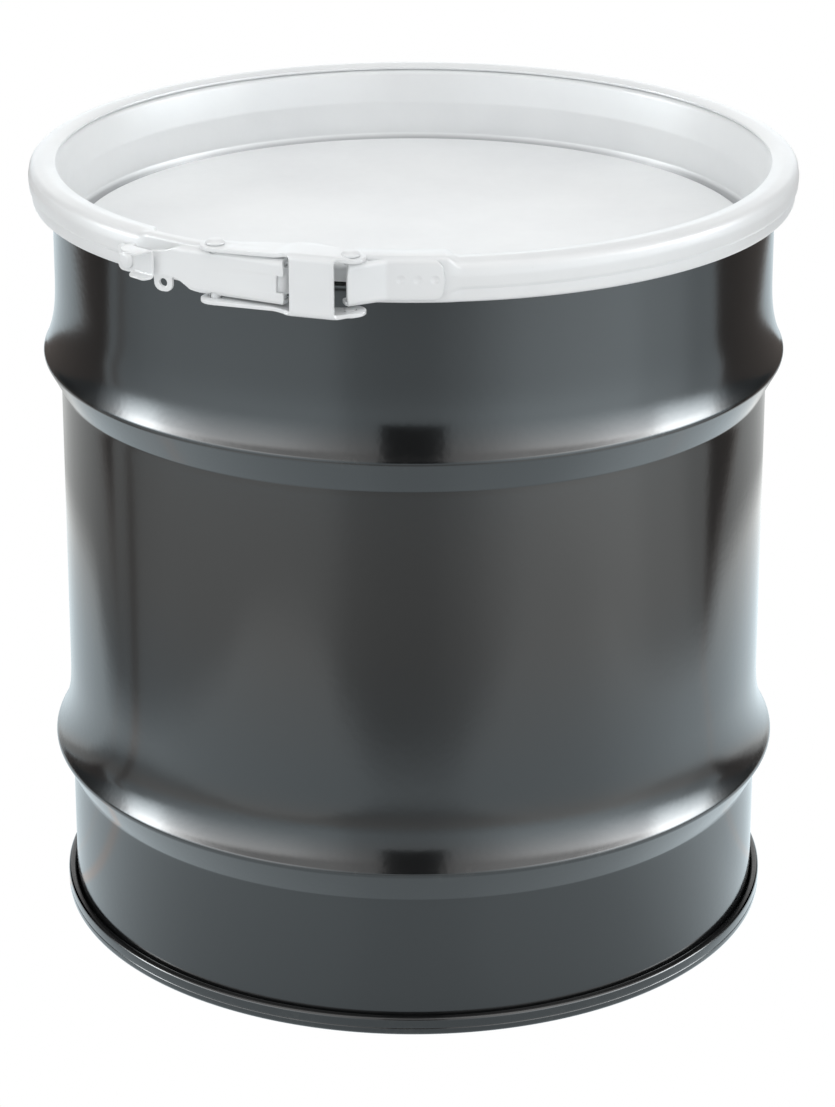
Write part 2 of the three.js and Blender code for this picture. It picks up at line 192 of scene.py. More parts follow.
def join_loops(mesh_data, loops, closed):
    """Quads between loops of vertices, each loop closed on itself. A loop of one vertex is a pole."""
    pairs = list(zip(loops, loops[1:]))
    if closed:
        pairs.append((loops[-1], loops[0]))
    for a, b in pairs:
        count = max(len(a), len(b))
        if count == 1:
            continue
        for i in range(count):
            j = (i + 1) % count
            corners = [a[i % len(a)], a[j % len(a)], b[j % len(b)], b[i % len(b)]]
            unique = list(dict.fromkeys(corners))
            if len(unique) > 2:
                mesh_data.faces.new(unique)


def turned(name, outline, body, cad_nodes, finish, centre=(0.0, 0.0), sides=240, sharp=35.0):
    """A closed outline in (radius, height), turned about an upright axis."""
    mesh_data = bmesh.new()
    loops = []
    for p in outline:
        if p.x < ON_AXIS:
            loops.append([mesh_data.verts.new((*centre, p.y))])
            continue
        spots = [polar(p.x, 360 * i / sides) for i in range(sides)]
        loops.append([mesh_data.verts.new((centre[0] + s.x, centre[1] + s.y, p.y)) for s in spots])
    join_loops(mesh_data, loops, closed=True)
    return finish_mesh(name, mesh_data, body, cad_nodes, finish, sharp)


def swept(name, section, azimuths, body, cad_nodes, finish, ends=(True, True)):
    """Sweeps section(azimuth), an outline in (out, height), round the drum's axis."""
    mesh_data = bmesh.new()
    loops = []
    for azimuth in azimuths:
        outline = section(azimuth)
        spots = [polar(p.x, azimuth) for p in outline]
        loops.append([mesh_data.verts.new((s.x, s.y, p.y)) for s, p in zip(spots, outline)])
    join_loops(mesh_data, loops, closed=False)
    for loop, shut in zip((loops[0], loops[-1]), ends):
        if shut:
            mesh_data.faces.new(loop)
    return finish_mesh(name, mesh_data, body, cad_nodes, finish)


def blank(outline, holes, thickness, edge=EDGE):
    """A flat sheet with rounded edges: outline in (x, y), thickness along z, as a bmesh."""
    curve = bpy.data.curves.new("blank", "CURVE")
    curve.dimensions = "2D"
    curve.fill_mode = "BOTH"
    curve.extrude = thickness / 2 - edge
    curve.bevel_depth = edge
    curve.bevel_resolution = 2
    curve.offset = -edge
    for loop in (outline, *holes):
        spline = curve.splines.new("POLY")
        spline.points.add(len(loop) - 1)
        for point, p in zip(spline.points, loop):
            point.co = (p[0], p[1], 0, 1)
        spline.use_cyclic_u = True
    holder = bpy.data.objects.new("blank", curve)
    mesh = bpy.data.meshes.new_from_object(holder)
    mesh_data = bmesh.new()
    mesh_data.from_mesh(mesh)
    bpy.data.objects.remove(holder)
    bpy.data.curves.remove(curve)
    bpy.data.meshes.remove(mesh)
    bmesh.ops.remove_doubles(mesh_data, verts=mesh_data.verts, dist=0.005)
    return mesh_data


def slice_at(mesh_data, axis, places):
    """Cuts the mesh along planes across an axis (0 for x, 1 for y), so that it can bend there."""
    normal = Vector((1, 0, 0)) if axis == 0 else Vector((0, 1, 0))
    for place in places:
        parts = mesh_data.verts[:] + mesh_data.edges[:] + mesh_data.faces[:]
        bmesh.ops.bisect_plane(mesh_data, geom=parts, plane_co=normal * place, plane_no=normal, dist=1e-4)


class BendPath:
    """A line in a plane made of (length, turn in degrees) stretches; positive turns are to the left."""

    def __init__(self, start, heading, stretches):
        self.nodes = []
        at, angle, done = Vector(start), math.radians(heading), 0.0
        for length, turn in stretches:
            self.nodes.append((done, at.copy(), angle, math.radians(turn) / length))
            at = self.walk(at, angle, math.radians(turn) / length, length)
            angle += math.radians(turn)
            done += length
        self.nodes.append((done, at, angle, 0.0))

    @staticmethod
    def walk(at, angle, curl, distance):
        if abs(curl) < STRAIGHT:
            return at + Vector((math.cos(angle), math.sin(angle))) * distance
        end = angle + curl * distance
        return at + Vector((math.sin(end) - math.sin(angle), math.cos(angle) - math.cos(end))) / curl

    def place(self, distance, side=0.0):
        """The point at a distance along the path, and side to its right."""
        start, at, angle, curl = [n for n in self.nodes if n[0] <= max(distance, 0.0)][-1]
        point = self.walk(at, angle, curl if distance >= 0 else 0.0, distance - start)
        turned_to = angle + (curl * (distance - start) if distance >= 0 else 0.0)
        return point + Vector((math.sin(turned_to), -math.cos(turned_to))) * side

    def cuts(self, step_degrees=14.0):
        """Distances to cut a sheet at so that it follows the bends."""
        places = []
        for (start, _, _, curl), (end, *_) in zip(self.nodes, self.nodes[1:]):
            if abs(curl) < STRAIGHT:
                continue
            steps = max(2, round(math.degrees(abs(curl)) * (end - start) / step_degrees))
            places += [start + (end - start) * k / steps for k in range(steps + 1)]
        return places


def channel_path(inner, face, bottom, top, thickness):
    """The section of a channel that is open towards the drum, from its lower flange's inner edge."""
    middle = face - thickness / 2
    flange = middle - BEND_RADIUS - inner
    web = top - bottom - thickness - 2 * BEND_RADIUS
    path = BendPath((inner, bottom + thickness / 2), 0.0,
                    [(flange, 0), (QUARTER, 90), (web, 0), (QUARTER, 90), (flange, 0)])
    web_zero = flange + QUARTER - (bottom + thickness / 2 + BEND_RADIUS)
    return path, web_zero


def bend_vertices(mesh_data, mapping):
    for vertex in mesh_data.verts:
        vertex.co = mapping(vertex.co.x, vertex.co.y, vertex.co.z)


# ---------------------------------------------------------------- materials
class Graph:
    """Shorthand for building a node tree. owner is a material or a world."""

    def __init__(self, owner, shader, output, coordinate):
        owner.use_nodes = True
        self.owner = owner
        self.tree = owner.node_tree
        self.tree.nodes.clear()
        self.shader = self.add(shader)
        self.link(self.shader.outputs[0], self.add(output).inputs["Surface"])
        self.place = self.add("ShaderNodeTexCoord").outputs[coordinate]

    def add(self, kind, **settings):
        node = self.tree.nodes.new(kind)
        for key, value in settings.items():
            setattr(node, key, value)
        return node

    def link(self, output, socket):
        self.tree.links.new(output, socket)

    def noise(self, scale, detail=3.0, roughness=0.5, stretch=None):
        node = self.add("ShaderNodeTexNoise")
        node.inputs["Scale"].default_value = scale
        node.inputs["Detail"].default_value = detail
        node.inputs["Roughness"].default_value = roughness
        source = self.place
        if stretch:
            mapping = self.add("ShaderNodeMapping")
            mapping.inputs["Scale"].default_value = stretch
            self.link(source, mapping.inputs["Vector"])
            source = mapping.outputs["Vector"]
        self.link(source, node.inputs["Vector"])
        return node.outputs["Fac"]

    def ramp(self, source, low, high, start=0.0, end=1.0):
        """source, from low to high, becomes start to end and is held outside."""
        node = self.add("ShaderNodeMapRange")
        self.link(source, node.inputs["Value"])
        for socket, value in zip(("From Min", "From Max", "To Min", "To Max"), (low, high, start, end)):
            node.inputs[socket].default_value = value
        return node.outputs["Result"]

    def math(self, operation, a, b):
        node = self.add("ShaderNodeMath", operation=operation)
        for socket, value in zip(node.inputs, (a, b)):
            if isinstance(value, float):
                socket.default_value = value
            else:
                self.link(value, socket)
        return node.outputs[0]

    def mix(self, share, a, b):
        """A colour between a and b."""
        node = self.add("ShaderNodeMix", data_type="RGBA")
        self.link(share, node.inputs["Factor"])
        for socket, value in zip((node.inputs[6], node.inputs[7]), (a, b)):
            if isinstance(value, tuple):
                socket.default_value = (*value, 1.0)
            else:
                self.link(value, socket)
        return node.outputs[2]

    def bump(self, height, strength, distance, below=None):
        node = self.add("ShaderNodeBump")
        node.inputs["Strength"].default_value = strength
        node.inputs["Distance"].default_value = distance
        self.link(height, node.inputs["Height"])
        if below is not None:
            self.link(below, node.inputs["Normal"])
        return node.outputs["Normal"]

    def curve(self, source, points, low, high, peak):
        """A smooth curve through (input, output) points, inputs low to high and outputs 0 to peak."""
        node = self.add("ShaderNodeFloatCurve")
        self.link(self.ramp(source, low, high), node.inputs["Value"])
        line = node.mapping.curves[0].points
        while len(line) < len(points):
            line.new(0.5, 0.5)
        for spot, (x, y) in zip(line, points):
            spot.location = ((x - low) / (high - low), y / peak)
        node.mapping.update()
        return self.math("MULTIPLY", node.outputs[0], float(peak))

    def round_axis(self):
        """Distance from the drum's axis in metres, azimuth in degrees, and height."""
        parts = self.add("ShaderNodeSeparateXYZ")
        self.link(self.place, parts.inputs[0])
        x, height = parts.outputs["X"], parts.outputs["Z"]
        y = self.math("SUBTRACT", parts.outputs["Y"], AXIS_Y * MM)
        squares = self.math("ADD", self.math("MULTIPLY", x, x), self.math("MULTIPLY", y, y))
        turn = self.math("ARCTAN2", x, self.math("MULTIPLY", y, -1.0))
        return self.math("SQRT", squares, 0.0), self.math("MULTIPLY", turn, math.degrees(1.0)), height


def paint(name):
    material = bpy.data.materials.new(name)
    graph = Graph(material, "ShaderNodeBsdfPrincipled", "ShaderNodeOutputMaterial", "Object")
    graph.shader.inputs["IOR"].default_value = 1.5
    return graph


def black_enamel():
    n = paint("black_enamel")
    radius, _, height = n.round_axis()
    crest = n.ramp(radius, (HOOP_RADIUS - 2.2) * MM, HOOP_RADIUS * MM)
    foot = n.ramp(height, 0.012, 0.002)
    scuffed = n.math("MULTIPLY", n.math("MAXIMUM", crest, foot),
                     n.ramp(n.noise(38.0, 6.0, 0.65), 0.5, 0.68))
    grain = n.noise(420.0, 2.0)
    worn = n.math("MULTIPLY", scuffed, n.ramp(grain, 0.42, 0.62))
    tint = n.mix(n.noise(9.0, 4.0), (0.0055, 0.006, 0.0065), (0.0095, 0.0098, 0.010))
    n.link(n.mix(worn, tint, (0.022, 0.022, 0.021)), n.shader.inputs["Base Color"])
    streaks = n.noise(14.0, 5.0, 0.6, stretch=(1.0, 1.0, 0.35))
    gloss = n.ramp(streaks, 0.3, 0.75, 0.10, 0.17)
    n.link(n.math("ADD", gloss, n.math("MULTIPLY", worn, 0.12)), n.shader.inputs["Roughness"])
    dents = n.bump(n.noise(7.0, 2.0, 0.4), 0.25, 0.0016)
    peel = n.bump(n.noise(330.0, 1.5, 0.4), 0.05, 0.0004, dents)
    n.link(n.bump(worn, 0.1, 0.0001, peel), n.shader.inputs["Normal"])
    return n.owner


def white_enamel(name="white_enamel", spots=()):
    """White paint, rubbed on its edges, with painted shade in the cover's groove, and a pressed hollow at
    each spot.
    """
    n = paint(name)
    rubbed_tint = (0.5, 0.5, 0.49)
    cloud = n.noise(11.0, 4.0, 0.55)
    fine = n.noise(160.0, 3.0, 0.6)
    tint = n.mix(n.ramp(cloud, 0.35, 0.7), (0.80, 0.815, 0.82), (0.74, 0.755, 0.765))
    specks = n.ramp(n.noise(700.0, 2.0, 0.7), 0.74, 0.84)
    edges = n.add("ShaderNodeNewGeometry").outputs["Pointiness"]
    rubbed = n.math("MULTIPLY", n.ramp(edges, 0.56, 0.66), n.ramp(fine, 0.5, 0.66))
    colour = n.mix(n.math("MULTIPLY", specks, 0.25), tint, rubbed_tint)
    radius, _, height = n.round_axis()
    # Painted shade: past the panel's edge and low in the cover's groove, the colour is darkened towards (0.3,
    # 0.31, 0.32), where shade falls in the groove.
    groove_shade_past_panel = n.ramp(radius, (PANEL_RADIUS + 0.8) * MM, (PANEL_RADIUS + 2.1) * MM)
    low = n.ramp(height, (PANEL_HEIGHT + 1.8) * MM, (PANEL_HEIGHT - 0.4) * MM, 0.0, 0.75)
    colour = n.mix(n.math("MULTIPLY", groove_shade_past_panel, low), colour, (0.3, 0.31, 0.32))
    n.link(n.mix(n.math("MULTIPLY", rubbed, 0.4), colour, rubbed_tint), n.shader.inputs["Base Color"])
    n.link(n.ramp(fine, 0.3, 0.75, 0.30, 0.42), n.shader.inputs["Roughness"])
    normal = n.bump(n.noise(9.0, 2.0, 0.4), 0.3, 0.0012)
    normal = n.bump(n.noise(380.0, 1.5, 0.4), 0.06, 0.0004, normal)
    for spot in spots:
        away = n.add("ShaderNodeVectorMath", operation="DISTANCE")
        n.link(n.place, away.inputs[0])
        away.inputs[1].default_value = spot
        hollow = n.ramp(away.outputs["Value"], 0.0004, 0.0022)
        normal = n.bump(hollow, 0.8, 0.0006, normal)
    n.link(normal, n.shader.inputs["Normal"])
    return n.owner


def gasket_rubber():
    n = paint("seal_rubber")
    bloom = n.noise(60.0, 5.0, 0.6)
    n.link(n.mix(bloom, (0.018, 0.018, 0.018), (0.035, 0.034, 0.033)), n.shader.inputs["Base Color"])
    n.link(n.ramp(bloom, 0.3, 0.7, 0.55, 0.8), n.shader.inputs["Roughness"])
    n.link(n.bump(n.noise(700.0, 2.0), 0.2, 0.0003), n.shader.inputs["Normal"])
    return n.owner


MATERIALS = {"black_paint": black_enamel(), "white_paint": white_enamel(), "gasket_rubber": gasket_rubber()}


# ---------------------------------------------------------------- body, bottom, cover and seal
def hoop_line(hoop, base_above, base_below, steps=18):
    """A hoop's outer surface in (radius, height): a long sweep, a tight crest and a straight underside."""
    crest, foot = hoop["crest"], hoop["crest"] - hoop["below"]
    reach = HOOP_RADIUS - base_above
    sweep = []
    for i in range(steps):
        s = i / steps
        sweep.append(Vector((base_above + reach * s ** 3, crest + FLARE * (1 - s))))
    turn = rounded([
        tuple(sweep[-1]), (HOOP_RADIUS + 0.35, crest - 0.3, 3.2), (base_below, foot, 2.5),
        (base_below, foot - 4),
    ])
    return sweep[:-1] + turn


def drum_body():
    half = Vector((BODY_SHEET / 2, 0))
    wall = WALL_RADIUS - half.x
    hook = WALL_RADIUS + 2.6
    curl = arc(NECK_RADIUS - half.x + CURL_RADIUS, CURL_HEIGHT, CURL_RADIUS, -110, 180, 24)
    hoops = hoop_line(TOP_HOOP, NECK_RADIUS, WALL_RADIUS) + hoop_line(LOW_HOOP, WALL_RADIUS, WALL_RADIUS)
    seam = rounded([(wall, 30), (wall, 2.7, 1.2), (hook, 2.7, 1.0), (hook, 7.4)])
    outline = sheet_outline(curl + [p - half for p in hoops] + seam[1:], BODY_SHEET)
    turned("drum_body", outline, "drum", ["body_shell"], "black_paint", sides=FINE_SIDES)


def drum_bottom():
    half = HEAD_SHEET / 2
    wall = WALL_RADIUS - BODY_SHEET - 0.4 - half
    outer = CHIME_RADIUS - half
    hook = WALL_RADIUS + 1.05
    bead, bead_half = 3.9, 0.5   # the small groove rolled round the chime
    line = rounded([
        (0, DISH_HEIGHT), (wall, DISH_HEIGHT, 3), (wall, half, 1.2), (outer, half, 1.4),
        (outer, bead - bead_half, 0.5), (outer - 0.35, bead, 0.4), (outer, bead + bead_half, 0.5),
        (outer, CHIME_TOP - half, 1.1), (hook, CHIME_TOP - half, 0.8), (hook, 4.2),
    ])
    outline = pole_closed(line, HEAD_SHEET)
    turned("drum_bottom", outline, "drum", ["bottom_head"], "black_paint", sides=FINE_SIDES)


def pole_closed(line, thickness):
    """The outline of a sheet whose line starts on the axis."""
    cap_points = 3
    outline = sheet_outline(line, thickness)[:-cap_points]
    outline[0].x = 0.0
    outline[-1].x = 0.0
    return outline


def drum_cover():
    groove, fold, skirt = PANEL_HEIGHT - 3.0, 374.5, 188.5
    line = rounded([
        (0, PANEL_HEIGHT), (PANEL_RADIUS, PANEL_HEIGHT, 2.2), (PANEL_RADIUS + 1.8, groove, 1.6),
        (172.8, groove, 1.8), (174.9, PANEL_HEIGHT + 2.0, 3.0), (175.3, fold, 12), (178.3, COVER_RIM, 2.6),
        (skirt, COVER_RIM, 2.6), (skirt, COVER_RIM - 7.2),
    ], steps=7)
    outline = pole_closed(line, COVER_SHEET)
    turned("recessed_cover", outline, "cover", ["cover"], "white_paint", sides=FINE_SIDES)


def cover_seal():
    low = CURL_HEIGHT + CURL_RADIUS + BODY_SHEET / 2 + 0.4
    high = COVER_RIM - COVER_SHEET / 2 - 0.4
    inner, outer = 181.4, 186.0
    outline = rounded([
        (inner, low, 0.8), (outer, low, 1.2), (outer, high, 1.2), (inner, high, 1.2),
    ], closed=True)
    turned("cover_seal", outline, "cover", ["cover_gasket"], "gasket_rubber", sides=180)


# ---------------------------------------------------------------- closing ring
def ring_section(azimuth):
    """The ring's outline at an azimuth: rolled, but squared and partly trimmed at its two ends."""
    right = 1 - smooth(azimuth, 4.4, 6.6) if azimuth > GAP_MIDDLE else 0.0
    left = smooth(azimuth, -42.4, -39.6) if azimuth < GAP_MIDDLE else 0.0
    squared = max(right, left)
    crown = RING_RADIUS - RING_SHEET / 2
    top = 393.85 + right * 2.1 + left * 0.45
    inner = 179.0 + 7.3 * left

    def between(rolled, square):
        return tuple(a + (b - a) * squared for a, b in zip(rolled, square))

    corners = [
        (inner, top - 0.85 * (1 - squared)),
        (max(184.5, inner + 1.0), top, 6.0),
        between((189.9, 392.6, 3.4), (crown, top, 1.3)),
        between((crown, 387.5, 6.0), (crown, 388.0, 3.0)),
        between((190.5, 382.9, 1.2), (crown, 381.5, 2.0)),
        between((189.25, 381.3, 1.0), (190.2, 379.2, 2.0)),
        between((189.15, 375.5, 1.6), (189.6, 375.5, 1.8)),
        (184.2, 375.5),
    ]
    return sheet_outline(rounded(corners), RING_SHEET)


def closing_ring():
    def azimuths(start, end):
        count = max(2, round(abs(end - start)))
        return [start + (end - start) * i / count for i in range(count + 1)]

    def fine(start, end):
        step = 0.25
        return [start + step * i for i in range(1, round((end - start) / step) + 1)]

    back = RING_HINGE - 360
    left = azimuths(back + FLEX_HALF, -44) + fine(-44, -38) + azimuths(-38, LEFT_END)[1:]
    right = azimuths(RIGHT_END, 4) + fine(4, 7) + azimuths(7, RING_HINGE - FLEX_HALF)[1:]
    bend = azimuths(RING_HINGE - FLEX_HALF, RING_HINGE + FLEX_HALF)
    nodes = ["closing_ring_left", "closing_ring_right"]
    swept("ring_front_left", ring_section, left, "ring_left", nodes[:1], "white_paint", (False, True))
    swept("ring_front_right", ring_section, right, "ring_right", nodes[1:], "white_paint", (True, False))
    flexing = swept("ring_back", ring_section, bend, None, nodes, "white_paint", (False, False))
    # Nothing here bends the back piece: two points along the ring from the hinge are worked out and not used,
    # and its placement is baked into its mesh.
    at = tangent_frame(RING_HINGE)
    reach = 105.0
    ends = [Vector((*at(along, RING_RADIUS), 385.0)) for along in (0.0, -reach)]
    ends = [(p + Vector((0, AXIS_Y, 0))) * MM for p in ends]
    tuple(ends[0])
    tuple(ends[1])
    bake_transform(flexing)


# ---------------------------------------------------------------- latch
def circle(x, y, radius, steps=24):
    return arc(x, y, radius, 0, 360 - 360 / steps, steps - 1)


def lever():
    """A channel over the pin, with a notch at its pivot end and an eye for a seal wire under its tip."""
    azimuth, face, inner = LEVER["azimuth"], LEVER["face"], LEVER["inner"]
    path, zero = channel_path(inner, face, LEVER["bottom"], LEVER["top"], LATCH_SHEET)
    end, total = LEVER["end"], path.nodes[-1][0]
    notch, notch_low, notch_high = end - 3.6, 381.3, 389.3
    eye_along, eye_height = -29.8, 378.2

    def web(height):
        return height + zero

    pivot_end = [
        (end - 1.2, total, 2), (end - 0.6, web(395.6), 0.6), (end, web(393.6), 1.6),
        (end, web(notch_high), 0.5), (notch, web(notch_high), 0.4), (notch, web(notch_low), 0.4),
        (end, web(notch_low), 0.5),
        (end, web(377.6), 0.8), (end - 1.0, web(376.4), 0.8), (end - 1.2, 0, 2),
    ]
    lower_edge = [
        (-9, 0, 3), (-11.5, web(376.2), 1.5), (-15.5, web(377.2), 5), (-20.5, web(380.3), 4),
        (-25.1, web(382.0), 1.2), (eye_along + 4.9, web(eye_height - 4.2), 4.7),
        (eye_along - 4.9, web(eye_height - 4.2), 4.7), (-34.4, web(382.6), 1.2),
    ]
    tip_and_top = [
        (-37, web(384.4), 1.5), (-37, web(392.4), 1.5), (-28.5, web(393.6), 6), (-22, web(396.0), 5),
        (-18, web(398.3), 4), (-13, web(398.4), 4), (-10.5, total, 3),
    ]
    holes = [circle(eye_along, web(eye_height), 2.0)]
    for pin in (PIVOTS["P"], PIVOTS["L"]):
        along, out = to_frame(azimuth, pin)
        holes += [circle(along, out - inner, HOLE_RADIUS), circle(along, total - (out - inner), HOLE_RADIUS)]
    sheet = blank(rounded(pivot_end + lower_edge + tip_and_top, closed=True), holes, LATCH_SHEET)
    slice_at(sheet, 1, path.cuts())
    slice_at(sheet, 0, [-34 + 2.0 * i for i in range(10)])
    at = tangent_frame(azimuth)

    def mapping(x, y, z):
        in_eye = x < -23.0 and y < web(381.0)
        p = Vector((face - LATCH_SHEET / 2 + z, y - zero)) if in_eye else path.place(y, z)
        tip = 1.2 * smooth(-x, 17, 36) * smooth(p.y, 380, 392)
        eye = 0.9 * smooth(382.4 - p.y, 0.0, 2.2) * smooth(-x, 23.0, 25.4)
        plan = at(x, p.x - tip - eye)
        return Vector((plan.x, plan.y, p.y))

    bend_vertices(sheet, mapping)
    finish_mesh("lever", sheet, "lever", ["lever"], "white_paint")


def to_frame(azimuth, point):
    """A point in plan as (along, out) at an azimuth."""
    a = math.radians(azimuth)
    return point.x * math.cos(a) + point.y * math.sin(a), point.x * math.sin(a) - point.y * math.cos(a)


PIVOTS = {
    "P": polar(PIVOT_RADIUS, PIVOT_P),
    "L": polar(PIVOT_L_RADIUS, PIVOT_L),
    "R": polar(PIVOT_RADIUS, PIVOT_R),
}


def link():
    """A channel whose two flanges reach past its short web, as ears for the pivots at both ends."""
    azimuth = (PIVOT_P + PIVOT_R) / 2
    along_p, line = to_frame(azimuth, PIVOTS["P"])
    length = 2 * abs(along_p)
    inner, ear = -20.0, 7.0
    shoulder = ear + 0.6
    path, _ = channel_path(inner, LINK["face"], LINK["bottom"], LINK["top"], LATCH_SHEET)
    total = path.nodes[-1][0]
    web_from, web_to = LINK["web_from"], LINK["web_to"]

    def flange(side, y):
        """A distance towards the web, on the lower (side -1) or upper (side 1) flange."""
        return y - inner if side < 0 else total - (y - inner)

    def flange_outline(side, at_ears, at_middle):
        """The ears and inner edge of a flange, which lies at_ears and at_middle inside the pivots' line."""
        left = [(x, flange(side, y)) for x, y in arc(0, 0, ear, 250, 92, 12)]
        right = [(x, flange(side, y)) for x, y in arc(length, 0, ear, 88, -75, 12)]
        inside = [(length - 8, flange(side, at_ears)), (46, flange(side, at_middle)),
                  (22, flange(side, at_middle)), (10, flange(side, at_ears))]
        return left, right, inside

    def web_edge(x, fillet, side):
        """One edge of the web, from the flange on this side to the other, with a fillet at both."""
        return rounded([
            (x + fillet, flange(side, shoulder)), (x, flange(side, shoulder + 1.2), 2.6),
            (x, flange(-side, shoulder + 1.2), 2.6), (x + fillet, flange(-side, shoulder)),
        ])

    lower_left, lower_right, lower_inside = flange_outline(-1, -4.8, -4.8)
    upper_left, upper_right, upper_inside = flange_outline(1, -6.6, -10.0)
    fillet = 3.4
    corner = web_from - fillet
    outline = lower_left + [(corner, flange(-1, shoulder - 0.3))] + web_edge(web_from, -fillet, -1)
    outline += [(corner, flange(1, shoulder - 0.3))] + upper_left[::-1] + upper_inside[::-1]
    outline += upper_right[::-1] + web_edge(web_to, 3.0, 1) + lower_right + lower_inside
    holes = [circle(x, flange(side, 0), HOLE_RADIUS) for x in (0, length) for side in (-1, 1)]
    sheet = blank(outline, holes, LATCH_SHEET)
    slice_at(sheet, 1, path.cuts())
    slice_at(sheet, 0, [28 + 1.5 * i for i in range(8)] + [58 + 1.5 * i for i in range(7)])
    at = tangent_frame(azimuth)
    middle = (LINK["top"] + LINK["bottom"]) / 2

    def mapping(x, y, z):
        p = path.place(y, z)
        swell = smooth(x, 29, 39) * (1 - smooth(x, 58, 67))
        height = middle + (p.y - middle) * (1 + 0.10 * swell)
        plan = at(x + along_p, p.x + line)
        return Vector((plan.x, plan.y, height))

    bend_vertices(sheet, mapping)
    finish_mesh("link", sheet, "link", ["link"], "white_paint")


def strap_bracket():
    """A channel that is welded to the ring, bends away from it, and ends in two ears."""
    azimuth, bottom, top = STRAP["azimuth"], STRAP["bottom"], STRAP["top"]
    tip, crease, edge = STRAP["tip"], STRAP["crease"], STRAP["edge"]
    seat = RING_RADIUS + SEAT_GAP + LATCH_SHEET / 2
    lift, spread = STRAP["lifted"] - seat, crease - edge
    run, bend = math.hypot(lift, spread), 3.0
    flat = tip - crease
    plan_path = BendPath((tip, seat), 180.0, [
        (flat - bend / 2, 0), (bend, -math.degrees(math.atan2(lift, spread))), (run - bend / 2, 0)])
    web_end = plan_path.nodes[-1][0]
    fold, fold_zero = channel_path(-9.0, LATCH_SHEET / 2, bottom, top, LATCH_SHEET)
    total = fold.nodes[-1][0]
    pivot_along, _ = to_frame(azimuth, PIVOTS["R"])
    ear_at = flat + (crease - pivot_along) * run / spread - 1.6
    hole_in = 5.2

    def web(height):
        return height + fold_zero

    outline = rounded([
        (0, web(386.6), 3), (1.2, web(top - 3), 4), (5, web(top) - 0.6, 3),
        (ear_at - 7.5, web(top) - 0.6, 1.0), (ear_at - 5.5, total - 4.5, 3), (ear_at - 2.5, total, 3),
        (ear_at + 2.5, total, 3), (web_end - 1.4, total - 5.5, 2.5),
        (web_end - 0.4, web(top - 3.2), 2), (web_end, web(top - 6), 3),
        (web_end, web(bottom + 5), 3), (web_end - 0.4, web(bottom + 2.4), 2), (web_end - 1.4, 5.5, 2.5),
        (ear_at + 2.5, 0, 3), (ear_at - 2.5, 0, 3), (ear_at - 5.5, 4.5, 3),
        (ear_at - 7.5, web(bottom) + 0.6, 1.0), (5, web(bottom) + 0.6, 3), (1.2, web(bottom + 3), 4),
    ], closed=True)
    holes = [circle(ear_at, hole_in, HOLE_RADIUS), circle(ear_at, total - hole_in, HOLE_RADIUS)]
    sheet = blank(outline, holes, LATCH_SHEET)
    slice_at(sheet, 1, fold.cuts())
    slice_at(sheet, 0, plan_path.cuts(3.0))
    at = tangent_frame(azimuth)

    def mapping(x, y, z):
        folded = fold.place(y, z)
        plan = plan_path.place(x, folded.x)
        spot = at(plan.x, plan.y)
        drop = 1.2 * smooth(x, flat, web_end) * smooth(-folded.x, -1.0, -3.0)
        return Vector((spot.x, spot.y, folded.y - drop))

    bend_vertices(sheet, mapping)
    surface = [at(along, seat + LATCH_SHEET / 2) for along in WELD_SPOTS]
    spots = [(p.x * MM, (p.y + AXIS_Y) * MM, WELD_HEIGHT * MM) for p in surface]
    piece = finish_mesh("strap_bracket", sheet, "ring_right", ["strap_bracket"], "white_paint")
    piece.data.materials[0] = white_enamel("white_enamel_spot_welded", spots)


def lever_bracket():
    """The tongue under the lever: a strip whose free end is rolled round the lever's pin."""
    bottom, top = BRACKET["bottom"], BRACKET["top"]
    at = tangent_frame(BRACKET["azimuth"])
    along, out = to_frame(BRACKET["azimuth"], PIVOTS["L"])
    roll_radius = HOLE_RADIUS + LATCH_SHEET / 2
    seat = RING_RADIUS + SEAT_GAP + LATCH_SHEET / 2
    roll = arc(along, out, roll_radius, -75, 195, 18)
    foot = [(-16, seat), (6, seat, 8), (along - 1, out - roll_radius - 0.5, 4), roll[0]]
    line = rounded(foot) + roll[1:]
    mesh_data = bmesh.new()
    loops = []
    for height, inset in ((bottom, EDGE), (bottom + EDGE, 0.0), (top - EDGE, 0.0), (top, EDGE)):
        plan = [at(p.x, p.y) for p in sheet_outline(line, LATCH_SHEET - 2 * inset)]
        loops.append([mesh_data.verts.new((p.x, p.y, height)) for p in plan])
    join_loops(mesh_data, loops, closed=False)
    mesh_data.faces.new(loops[0])
    mesh_data.faces.new(loops[-1])
    finish_mesh("lever_bracket", mesh_data, "ring_left", ["lever_bracket"], "white_paint")


